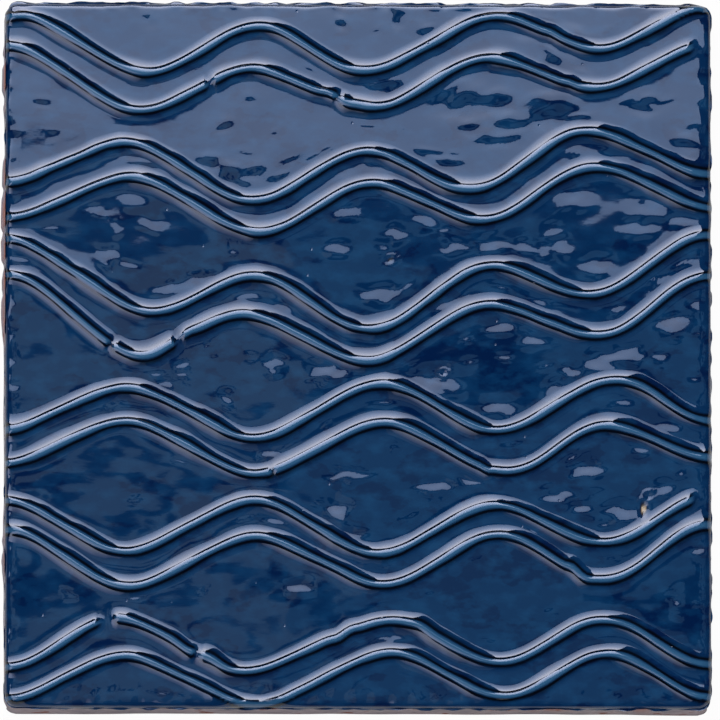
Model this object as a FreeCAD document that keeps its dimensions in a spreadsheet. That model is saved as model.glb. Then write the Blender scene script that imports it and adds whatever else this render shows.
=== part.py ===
import FreeCAD, Part
import math
import os

import Sketcher
from FreeCAD import Vector

# A handmade relief tile: one slab of fired clay whose face carries pairs of raised beads. The beads run
# from side to side in long waves, and each pair is half a wave out of step with the pair next to it.
# Millimetres. The origin is the middle of the flat back, +Z comes out of the face, +Y is the tile's
# upper edge, and the beads run along X.

SIZES = (
    ("face_width", 150.0, "side to side, across the face"),
    ("face_length", 150.0, "upper edge to lower edge, across the face"),
    ("body_depth", 11.0, "back to the field between the beads"),
    ("side_draft", 0.8, "how far the back stands out past the face on each side"),
    ("corner_round", 2.8, "radius of the four upright corners"),
    ("arris_round", 1.6, "radius round the edge of the face"),
    ("back_ease", 0.4, "bevel round the edge of the back"),
    ("pair_count", 6, "pairs of beads, one above the other"),
    ("wave_count", 3, "whole waves from side to side"),
    ("wave_corner", 6.6, "height of a wave's corner above its middle, before the corner is rounded"),
    ("wave_round", 12.0, "radius of the bend at each crest and trough"),
    ("bend_share", 0.47, "the most of a straight run that the bend at either end of it takes up"),
    ("pair_gap", 7.6, "from one bead of a pair to the other"),
    ("bead_rise", 1.1, "crown of a bead above the field"),
    ("crown_round", 0.8, "radius of a bead's crown"),
    ("foot_round", 2.2, "radius of the hollow where glaze pools along a bead's foot"),
    ("root_slope", 55.0, "degrees that a bead's root slopes, inside the slab"),
    ("root_depth", 2.0, "how far a bead's root reaches into the slab"),
    ("relief_inset", 0.05, "how far the relief stops inside the slab's sides"),
    ("hand_step", 0.5, "one step of the maker's hand, up or down the tile"),
    ("hand_share", 0.02, "one step of the maker's hand along the tile, as a share of half a wave"),
)

# How far each bead strays from an even wave, in steps of the maker's hand. First the shift along the
# tile of each crest and trough, from the left. Then the shift up or down the tile at the left side, at
# each crest and trough, and at the right side. The beads are listed from the upper edge down.
HAND = (
    ((11, 7, 2, 8, 3), (5, -3, -1, -2, 2, 9, 7)),
    ((6, 3, 9, 3, 3), (6, -4, -6, -1, -1, 8, 6)),
    ((3, 5, 3, -1, -5), (2, -2, -8, -5, -3, 4, 6)),
    ((5, 8, 4, 5, -1), (2, -2, -6, -4, 0, 4, 7)),
    ((12, 7, 5, 4, 1), (8, -5, -8, -14, -4, 3, 12)),
    ((4, 0, 5, 4, 6), (11, -8, -10, -10, -6, 1, 11)),
    ((1, 7, 10, 9, 11), (-4, -7, -8, -4, -5, -1, -3)),
    ((2, 6, 11, 15, 2), (-3, -6, -8, -6, -8, -7, 1)),
    ((1, 6, 9, 7, 6), (-4, -7, -4, -8, -6, -3, 0)),
    ((1, 5, 13, 11, 6), (0, -7, -5, -5, -2, -6, 6)),
    ((-2, 0, 15, 11, 4), (-7, -4, -7, -6, -4, -4, -5)),
    ((1, 7, 14, 13, 6), (-4, -6, -6, -4, -3, -3, -4)),
)

# Where a bead was broken before firing: the bead's number from the upper edge, the place as a share of
# half the face width, and the opening as a share of the bead's crown width.
BREAKS = (
    (2, -0.42, 0.6),
    (2, -0.057, 0.6),
    (6, -0.70, 0.9),
    (6, -0.52, 0.8),
    (8, -0.243, 0.6),
    (11, -0.708, 2.4),
    (11, -0.455, 0.7),
)

# Beads that stop short of the right side, and how far short, as a share of half the face width.
SHORT_BEADS = ((2, 0.06), (9, 0.06))


def add_sizes(doc):
    """Puts the driving sizes in a sheet, one aliased cell each."""
    sheet = doc.addObject("Spreadsheet::Sheet", "sizes")
    for row, (alias, value, meaning) in enumerate(SIZES, start=1):
        sheet.set(f"A{row}", alias)
        sheet.set(f"B{row}", str(value))
        sheet.set(f"C{row}", meaning)
        sheet.setAlias(f"B{row}", alias)
    doc.recompute()
    return sheet


def add_outline(body, name, width, length):
    """A rectangle about the origin, on the plane of the back. Width and length are expressions."""
    sketch = body.newObject("Sketcher::SketchObject", name)
    plane = next(f for f in body.Origin.OriginFeatures if f.Role == "XY_Plane")
    sketch.AttachmentSupport = (plane, [""])
    sketch.MapMode = "FlatFace"
    corners = [Vector(-1, -1, 0), Vector(1, -1, 0), Vector(1, 1, 0), Vector(-1, 1, 0)]
    sides = [sketch.addGeometry(Part.LineSegment(corners[i], corners[(i + 1) % 4])) for i in range(4)]
    for i in range(4):
        sketch.addConstraint(Sketcher.Constraint("Coincident", sides[i], 2, sides[(i + 1) % 4], 1))
    for i in (0, 2):
        sketch.addConstraint(Sketcher.Constraint("Horizontal", sides[i]))
        sketch.addConstraint(Sketcher.Constraint("Vertical", sides[i + 1]))
    sketch.addConstraint(Sketcher.Constraint("Symmetric", sides[0], 1, sides[2], 1, -1, 1))
    across = sketch.addConstraint(Sketcher.Constraint("DistanceX", sides[0], 1, sides[0], 2, 2.0))
    along = sketch.addConstraint(Sketcher.Constraint("DistanceY", sides[1], 1, sides[1], 2, 2.0))
    sketch.setExpression(f"Constraints[{across}]", width)
    sketch.setExpression(f"Constraints[{along}]", length)
    return sketch


def names_where(kind, elements, wanted):
    """Names of the edges or faces that the test picks, such as Edge3."""
    return [f"{kind}{i}" for i, element in enumerate(elements, start=1) if wanted(element)]


def is_upright(edge):
    """True for an edge that runs from the back to the face."""
    start, end = edge.Vertexes[0].Point, edge.Vertexes[-1].Point
    return abs(end.z - start.z) > 0.5 * edge.Length


def is_side(face):
    """True for a face that stands upright."""
    return face.BoundBox.ZLength > 0.5 * min(face.BoundBox.DiagonalLength, face.BoundBox.ZMax)


def lies_at(height):
    """A test for edges and faces that lie flat at the height."""
    return lambda element: all(abs(v.Z - height) < 0.001 for v in element.Vertexes)


def add_block(doc, name, width, length, depth, corner):
    """An upright block on the plane of the back, with rounded corners. Every size is an expression."""
    body = doc.addObject("PartDesign::Body", name)
    outline = add_outline(body, f"{name}_outline", width, length)
    pad = body.newObject("PartDesign::Pad", f"{name}_pad")
    pad.Profile = outline
    pad.setExpression("Length", depth)
    doc.recompute()
    corners = body.newObject("PartDesign::Fillet", f"{name}_corners")
    corners.Base = (pad, names_where("Edge", pad.Shape.Edges, is_upright))
    corners.setExpression("Radius", corner)
    doc.recompute()
    return body, corners


def add_arris(doc, body, base, radius):
    """Rounds the edge all round the top of a block."""
    arris = body.newObject("PartDesign::Fillet", f"{body.Name}_arris")
    arris.Base = (base, names_where("Edge", base.Shape.Edges, lies_at(base.Shape.BoundBox.ZMax)))
    arris.setExpression("Radius", radius)
    doc.recompute()
    return arris


def add_slab(doc):
    """The clay slab under the beads, with sides that spread towards the back."""
    body, corners = add_block(
        doc, "slab", "sizes.face_width", "sizes.face_length", "sizes.body_depth", "sizes.corner_round"
    )
    top = names_where("Face", corners.Shape.Faces, lies_at(corners.Shape.BoundBox.ZMax))
    draft = body.newObject("PartDesign::Draft", "slab_draft")
    draft.Base = (corners, names_where("Face", corners.Shape.Faces, is_side))
    draft.NeutralPlane = (corners, top)
    draft.setExpression("Angle", "atan(sizes.side_draft / sizes.body_depth)")
    doc.recompute()
    arris = add_arris(doc, body, draft, "sizes.arris_round")
    ease = body.newObject("PartDesign::Chamfer", "slab_back_ease")
    ease.Base = (arris, names_where("Edge", arris.Shape.Edges, lies_at(0.0)))
    ease.setExpression("Size", "sizes.back_ease")
    doc.recompute()
    return body


def add_relief_limit(doc):
    """The block that the beads stay inside, so that they fade out over the rounded arris."""
    body, corners = add_block(
        doc,
        "relief_limit",
        "sizes.face_width - 2 * sizes.relief_inset",
        "sizes.face_length - 2 * sizes.relief_inset",
        "sizes.body_depth + sizes.bead_rise + sizes.relief_inset",
        "sizes.corner_round + sizes.bead_rise",
    )
    add_arris(doc, body, corners, "sizes.arris_round + sizes.bead_rise")
    return body


def wave_corners(sheet, number):
    """The corners of a bead's zigzag, from the left side to the right, and one more past each side."""
    pair, lower = divmod(number - 1, 2)
    pair_pitch = sheet.face_length / sheet.pair_count
    half_wave = sheet.face_width / (2 * sheet.wave_count)
    middle = sheet.face_length / 2 - (pair + 0.5) * pair_pitch
    middle += -sheet.pair_gap / 2 if lower else sheet.pair_gap / 2
    last = 2 * int(sheet.wave_count)
    along, across = HAND[(number - 1) % len(HAND)]
    corners = []
    for i in range(last + 1):
        crest = 1 if (i + pair) % 2 == 0 else -1
        shift = along[(i - 1) % len(along)] if 0 < i < last else 0
        x = -sheet.face_width / 2 + (i + shift * sheet.hand_share) * half_wave
        y = middle + crest * sheet.wave_corner + across[i % len(across)] * sheet.hand_step
        corners.append(Vector(x, y, sheet.body_depth))
    before = Vector(2 * corners[0].x - corners[1].x, corners[1].y, sheet.body_depth)
    after = Vector(2 * corners[-1].x - corners[-2].x, corners[-2].y, sheet.body_depth)
    return [before] + corners + [after]


def rounded(corners, full_radius, bend_share):
    """A line through the corners with each of them rounded off, as joined edges.

    A bend has the full radius, or less where one of its two runs is too short for that.
    """
    edges = []
    reached = corners[0]
    for before, corner, after in zip(corners, corners[1:], corners[2:]):
        back, ahead = before - corner, after - corner
        shorter_run = min(back.Length, ahead.Length)
        back.normalize()
        ahead.normalize()
        half_angle = back.getAngle(ahead) / 2
        radius = min(full_radius, bend_share * shorter_run * math.tan(half_angle))
        start = corner + back * (radius / math.tan(half_angle))
        end = corner + ahead * (radius / math.tan(half_angle))
        inward = (back + ahead).normalize()
        middle = corner + inward * (radius / math.sin(half_angle) - radius)
        edges.append(Part.LineSegment(reached, start).toShape())
        edges.append(Part.Arc(start, middle, end).toShape())
        reached = end
    edges.append(Part.LineSegment(reached, corners[-1]).toShape())
    return edges


def add_spine(doc, sheet, number):
    """A bead's centre line: a zigzag with rounded corners that runs out past both sides."""
    spine = doc.addObject("Part::Feature", f"bead_{number}_spine")
    corners = wave_corners(sheet, number)
    spine.Shape = Part.Wire(rounded(corners, sheet.wave_round, sheet.bend_share))
    return spine


def bead_section(sheet):
    """The right half of a bead's section: points (across, up) from the field, from the crown down.

    The section is an ogee, a round crown that turns into the hollow at its foot. The crown's round and
    the hollow are each drawn with a flat and one corner, where the ogee has half its steepest slope.
    """
    crown_centre = sheet.bead_rise - sheet.crown_round
    reach = sheet.crown_round + sheet.foot_round
    steepest = math.acos((sheet.foot_round - crown_centre) / reach)
    half_turn = steepest / 2
    foot = reach * math.sin(steepest)
    root_spread = (sheet.root_depth - sheet.relief_inset) / math.tan(math.radians(sheet.root_slope))
    return [
        (sheet.crown_round * math.sin(half_turn), sheet.bead_rise),
        (foot - sheet.foot_round * math.sin(half_turn), sheet.foot_round * (1 - math.cos(half_turn))),
        (foot, -sheet.relief_inset),
        (foot + root_spread, -sheet.root_depth),
    ]


def add_profile(doc, sheet, number, spine):
    """A bead's section at the start of its spine, square to it."""
    right = bead_section(sheet)
    left = [(-across, up) for across, up in reversed(right)]
    start = spine.Shape.Edges[0]
    direction = start.tangentAt(start.FirstParameter)
    sideways = Vector(-direction.y, direction.x, 0)
    origin = start.valueAt(start.FirstParameter)
    points = [origin + sideways * across + Vector(0, 0, up) for across, up in right + left]
    profile = doc.addObject("Part::Feature", f"bead_{number}_profile")
    profile.Shape = Part.makePolygon(points + points[:1])
    return profile


def add_bead(doc, sheet, number):
    """One bead, swept whole from side to side."""
    spine = add_spine(doc, sheet, number)
    profile = add_profile(doc, sheet, number, spine)
    bead = doc.addObject("Part::Sweep", f"bead_{number}")
    bead.Sections = [profile]
    bead.Spine = (spine, [f"Edge{i}" for i in range(1, len(spine.Shape.Edges) + 1)])
    bead.Solid = True
    bead.Frenet = False
    return bead


def place_on(spine, across_tile):
    """The point of a centre line at a place from left to right, and its direction there."""
    for edge in spine.Shape.Edges:
        start, end = edge.Vertexes[0].Point, edge.Vertexes[-1].Point
        if start.x <= across_tile <= end.x:
            reach = (across_tile - start.x) / (end.x - start.x)
            parameter = edge.FirstParameter + reach * (edge.LastParameter - edge.FirstParameter)
            return edge.valueAt(parameter), edge.tangentAt(parameter)
    raise ValueError(f"no bead at {across_tile} mm")


def add_gap(doc, sheet, name, spine, across_tile, opening):
    """A tool that opens a gap in a bead and leaves its two ends rounded."""
    half_across = bead_section(sheet)[-1][0] + sheet.crown_round
    flare = half_across / 2
    centre, direction = place_on(spine, across_tile)
    sideways = Vector(-direction.y, direction.x, 0)

    def at(along, across):
        return centre + direction * along + sideways * across

    half = opening / 2
    wide = half + flare
    left = Part.Arc(at(-wide, -half_across), at(-half, 0), at(-wide, half_across))
    right = Part.Arc(at(wide, half_across), at(half, 0), at(wide, -half_across))
    top = Part.LineSegment(at(-wide, half_across), at(wide, half_across))
    bottom = Part.LineSegment(at(wide, -half_across), at(-wide, -half_across))
    outline = Part.Wire([left.toShape(), top.toShape(), right.toShape(), bottom.toShape()])
    height = 2 * (sheet.root_depth + sheet.bead_rise)
    tool = doc.addObject("Part::Feature", name)
    prism = Part.Face(outline).extrude(Vector(0, 0, height))
    prism.translate(Vector(0, 0, -height / 2))
    tool.Shape = prism
    return tool


def add_gaps(doc, sheet, bead):
    """The gaps of one bead: where it was broken, and where it stops short of the right side."""
    number = int(bead.Name.split("_")[1])
    spine = bead.Spine[0]
    half_width = sheet.face_width / 2
    crown_width = 2 * sheet.crown_round
    places = [(share * half_width, opening * crown_width) for n, share, opening in BREAKS if n == number]
    short = [share * half_width for n, share in SHORT_BEADS if n == number]
    places += [(half_width, 2 * reach) for reach in short]
    return [
        add_gap(doc, sheet, f"{bead.Name}_gap_{i}", spine, place, opening)
        for i, (place, opening) in enumerate(places, start=1)
    ]


def check(doc, pieces):
    """Stops with the reason if an object failed or a piece isn't one valid solid."""
    failed = [thing.Name for thing in doc.Objects if {"Invalid", "Error"} & set(thing.State)]
    if failed:
        raise RuntimeError(f"failed: {', '.join(failed)}")
    for piece in pieces:
        if piece.Shape.isNull() or not piece.Shape.isValid() or len(piece.Shape.Solids) != 1:
            raise RuntimeError(f"{piece.Label} isn't one valid solid")


def write(pieces):
    """Writes each piece to a file named after it, and prints its size and volume."""
    os.makedirs("parts", exist_ok=True)
    for piece in pieces:
        piece.Shape.exportStep(f"parts/{piece.Label}.step")
        box = piece.Shape.optimalBoundingBox()
        print(
            f"{piece.Label}: {box.XLength:.2f} x {box.YLength:.2f} x {box.ZLength:.2f} mm, "
            f"{piece.Shape.Volume / 1000:.1f} cm3, {len(piece.Shape.Faces)} faces"
        )


def add_trimmed_bead(doc, sheet, number, limit):
    """One bead with its gaps, trimmed to fade out at the sides."""
    bead = add_bead(doc, sheet, number)
    doc.recompute()
    gaps = add_gaps(doc, sheet, bead)
    whole = bead
    if gaps:
        openings = doc.addObject("Part::Compound", f"{bead.Name}_gaps")
        openings.Links = gaps
        whole = doc.addObject("Part::Cut", f"{bead.Name}_broken")
        whole.Base = bead
        whole.Tool = openings
    trimmed = doc.addObject("Part::Common", f"{bead.Name}_trimmed")
    trimmed.Base = whole
    trimmed.Tool = limit
    return trimmed


def main():
    """Builds the tile and writes it out."""
    doc = FreeCAD.newDocument("handmade_tile")
    sheet = add_sizes(doc)
    slab = add_slab(doc)
    limit = add_relief_limit(doc)
    bead_count = 2 * int(sheet.pair_count)
    beads = [add_trimmed_bead(doc, sheet, number, limit) for number in range(1, bead_count + 1)]
    tile = doc.addObject("Part::MultiFuse", "tile")
    tile.Label = "tile"
    tile.Shapes = [slab] + beads
    doc.recompute()
    check(doc, [tile])
    write([tile])


main()
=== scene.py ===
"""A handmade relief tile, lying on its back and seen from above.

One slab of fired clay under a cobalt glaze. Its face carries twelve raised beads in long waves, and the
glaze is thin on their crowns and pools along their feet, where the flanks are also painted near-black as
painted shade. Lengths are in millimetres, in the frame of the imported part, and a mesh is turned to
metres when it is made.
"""

import logging
import math
from dataclasses import dataclass, field
from enum import Enum

import bpy
import numpy as np
from mathutils import Matrix, Vector


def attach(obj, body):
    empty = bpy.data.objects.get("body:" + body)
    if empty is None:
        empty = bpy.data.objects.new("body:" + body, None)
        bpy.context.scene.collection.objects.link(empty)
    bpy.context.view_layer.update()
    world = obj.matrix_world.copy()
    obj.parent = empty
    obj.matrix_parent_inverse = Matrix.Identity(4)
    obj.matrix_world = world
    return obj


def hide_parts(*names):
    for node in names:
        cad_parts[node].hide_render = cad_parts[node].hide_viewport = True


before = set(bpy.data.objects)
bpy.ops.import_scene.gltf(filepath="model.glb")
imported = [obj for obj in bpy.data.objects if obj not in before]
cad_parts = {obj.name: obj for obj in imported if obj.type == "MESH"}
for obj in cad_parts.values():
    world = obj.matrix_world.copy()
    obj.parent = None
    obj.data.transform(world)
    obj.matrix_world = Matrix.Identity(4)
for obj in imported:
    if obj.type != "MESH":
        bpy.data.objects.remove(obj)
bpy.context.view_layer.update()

log = logging.getLogger("handmade_tile")

Array = np.ndarray
Tree = bpy.types.NodeTree
Socket = bpy.types.NodeSocket
Span = tuple[float, float]
Place = tuple[float, float, float]
Colour = tuple[float, float, float, float]

MM = 0.001
CEILING_HEIGHT = 1.0

# Past any distance on the tile, in millimetres, and two distances that count as none.
FAR, ON_EDGE, TINY = 1000.0, 1e-6, 1e-9

# Socket numbers of a colour mix, whose names repeat for each kind of data.
MIX_FACTOR, MIX_A, MIX_B, MIX_RESULT = 0, 6, 7, 2


def linear(hex_colour: str) -> Colour:
    """Turns an sRGB colour into a linear one.

    Args:
        hex_colour: The colour as #RRGGBB.

    Returns:
        Red, green and blue in linear light, and an alpha of 1.
    """
    channels = [int(hex_colour[i : i + 2], 16) / 255 for i in (1, 3, 5)]
    red, green, blue = (c / 12.92 if c <= 0.04045 else ((c + 0.055) / 1.055) ** 2.4 for c in channels)
    return red, green, blue, 1.0


def add_node(tree: Tree, kind: str, inputs: dict | None = None, **settings: str) -> bpy.types.Node:
    """Adds a shader node to a tree.

    Args:
        tree: The tree that the node goes into.
        kind: The node's type, without the ShaderNode that each type starts with.
        inputs: A value, or the socket to link from, for each input, by the input's name or number.
        settings: The node's own properties, by name.

    Returns:
        The new node.
    """
    node = tree.nodes.new(f"ShaderNode{kind}")
    for name, value in settings.items():
        setattr(node, name, value)
    for name, value in (inputs or {}).items():
        if isinstance(value, Socket):
            tree.links.new(value, node.inputs[name])
        else:
            node.inputs[name].default_value = value
    return node


def new_material(name: str) -> tuple[bpy.types.Material, Tree]:
    """Makes an empty node material.

    Args:
        name: What the real material is called.

    Returns:
        The material and its node tree, which holds nothing yet.
    """
    material = bpy.data.materials.new(name)
    material.use_nodes = True
    material.node_tree.nodes.clear()
    return material, material.node_tree


def mix_colours(tree: Tree, factor: Socket, first: Colour | Socket, second: Colour | Socket) -> Socket:
    """Mixes two colours of a material.

    Args:
        tree: The material's node tree.
        factor: A socket that gives 0 for the first colour and 1 for the second.
        first: A colour or a socket.
        second: A colour or a socket.

    Returns:
        The socket that the mixed colour comes out of.
    """
    inputs = {MIX_FACTOR: factor, MIX_A: first, MIX_B: second}
    return add_node(tree, "Mix", inputs, data_type="RGBA").outputs[MIX_RESULT]


def add_object(name: str, data: bpy.types.ID) -> bpy.types.Object:
    """Puts data into the scene as an object.

    Args:
        name: The object's name.
        data: Its mesh, light or camera.

    Returns:
        The object.
    """
    made = bpy.data.objects.new(name, data)
    bpy.context.scene.collection.objects.link(made)
    return made


def add_quad(name: str, corners: tuple[Place, ...], material: bpy.types.Material) -> bpy.types.Object:
    """Puts one flat face into the scene.

    Args:
        name: The object's name.
        corners: Its four corners in metres, in turn.
        material: What it is made of.

    Returns:
        The object.
    """
    mesh = bpy.data.meshes.new(name)
    mesh.from_pydata(corners, [], [(0, 1, 2, 3)])
    mesh.materials.append(material)
    return add_object(name, mesh)


def ease(values: Array, low: float, high: float) -> Array:
    """Rises smoothly from 0 at low to 1 at high.

    Args:
        values: Where to read the curve.
        low: The value below which the result is 0.
        high: The value above which the result is 1.

    Returns:
        The curve's height for each value.
    """
    t = np.clip((values - low) / (high - low), 0.0, 1.0)
    return t * t * (3.0 - 2.0 * t)


def bell(away: Array, reach: float) -> Array:
    """Falls off smoothly from 1 at no distance, to about a third at the reach."""
    return np.exp(-((away / reach) ** 2))


def smooth(padded: Array, reach: int) -> Array:
    """Smooths values over that many neighbours, and takes as many values off each end."""
    window = np.hanning(2 * reach + 1)
    return np.convolve(padded, window / window.sum(), mode="same")[reach:-reach]


class Edge(Enum):
    """The four edges of the face, in the order in which they are walked."""

    LOWER = 0
    RIGHT = 1
    UPPER = 2
    LEFT = 3

    def along(self, across: Array, up: Array) -> Array:
        """Places along this edge, out of those from side to side and up the tile."""
        return up if self in (Edge.LEFT, Edge.RIGHT) else across


@dataclass(frozen=True)
class Ripples:
    """The slight waviness that a hand or a fluid glaze leaves, as a sum of seeded waves."""

    seed: int
    shortest: float
    longest: float
    slope_degrees: float
    stretch: float = 1.0
    count: int = 28

    def height(self, across: Array, up: Array) -> Array:
        """Height of the ripples, about zero.

        Args:
            across: Places from side to side.
            up: Places from the lower to the upper edge.

        Returns:
            The height at each place.
        """
        rng = np.random.default_rng(self.seed)
        slope = math.tan(math.radians(self.slope_degrees)) * math.sqrt(2.0 / self.count)
        total = np.zeros(np.broadcast(across, up).shape)
        for _ in range(self.count):
            turn = rng.uniform(0.0, math.pi)
            pitch = 2 * math.pi / rng.uniform(self.shortest, self.longest)
            along, rise = pitch * math.cos(turn) / self.stretch, pitch * math.sin(turn)
            phase = rng.uniform(0.0, 2 * math.pi)
            total += slope / math.hypot(along, rise) * np.cos(along * across + rise * up + phase)
        return total


@dataclass(frozen=True)
class Dimples:
    """Shallow dips and swellings that the glaze set with, all leaning by one angle.

    Each is its place across and up the tile, and half its width and height. In its middle the surface
    leans back towards the upper edge by the angle, or towards the lower edge where the angle is negative.
    """

    lean: float
    places: tuple[tuple[float, float, float, float], ...]
    wide_share: float = 0.85
    tall_share: float = 0.55

    def height(self, across: Array, up: Array) -> Array:
        """Height of the dimples, about zero.

        Args:
            across: Places from side to side.
            up: Places from the lower to the upper edge.

        Returns:
            The height at each place.
        """
        slope = math.tan(math.radians(self.lean))
        total = np.zeros_like(up)
        for x, y, wide, tall in self.places:
            u = (across - x) * self.wide_share / wide
            v = (up - y) * self.tall_share / tall
            total -= slope * (up - y) * np.exp(-((u * u + v * v) ** 2))
        return total


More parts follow.
